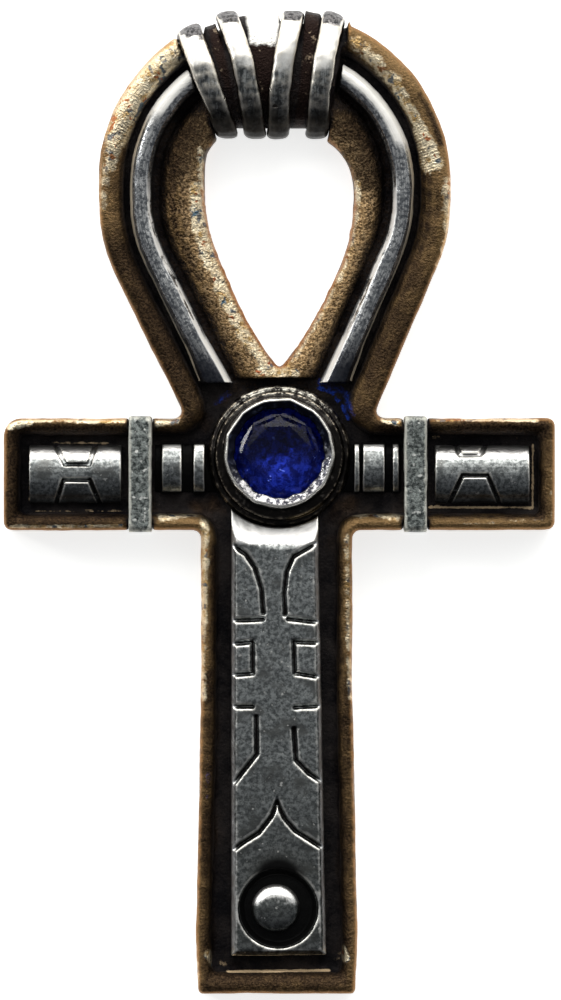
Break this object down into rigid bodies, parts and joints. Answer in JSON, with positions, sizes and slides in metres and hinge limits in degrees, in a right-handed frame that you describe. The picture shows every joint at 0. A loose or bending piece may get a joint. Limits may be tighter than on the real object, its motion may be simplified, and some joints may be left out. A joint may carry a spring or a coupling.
{
  "type": "ankh pendant",
  "caption": "Ankh pendant in bronze with silver wire, straps, engraved inlays and a round blue faceted stone in a lipped setting.",
  "frame": {"origin": "under the middle of the pendant's outline, on its flat back", "axes": "+X to the pendant's right seen from its face, +Y towards the top of the loop, +Z out of its face"},
  "size_m": [0.0252, 0.045, 0.0035],
  "materials": {
    "bronze": "antique bronze, dark patina in the recesses, rubbed golden on the rims",
    "silver": "brushed antique silver",
    "wrap_silver": "brushed antique silver, darkened at the edges",
    "setting": "antique silver with a bright inner lip and a dark stepped flange",
    "engraved": "fine-grained antique silver with dark engraved lines",
    "pewter": "dull light pewter, granular, without patina",
    "stone": "deep royal blue, faceted and polished"
  },
  "bodies": {
    "root": {"frame": "bronze", "wire_left": "silver", "wire_right": "silver", "wrap_1": "wrap_silver", "wrap_2": "wrap_silver", "wrap_3": "wrap_silver", "wrap_4": "wrap_silver", "bezel": "setting", "stone": "stone", "shaft_plate": "engraved", "shaft_boss": "engraved", "barrel_left": "engraved", "barrel_right": "engraved", "collar_left": "pewter", "collar_right": "pewter", "ribs_left": "engraved", "ribs_right": "engraved"}
  },
  "joints": []
}
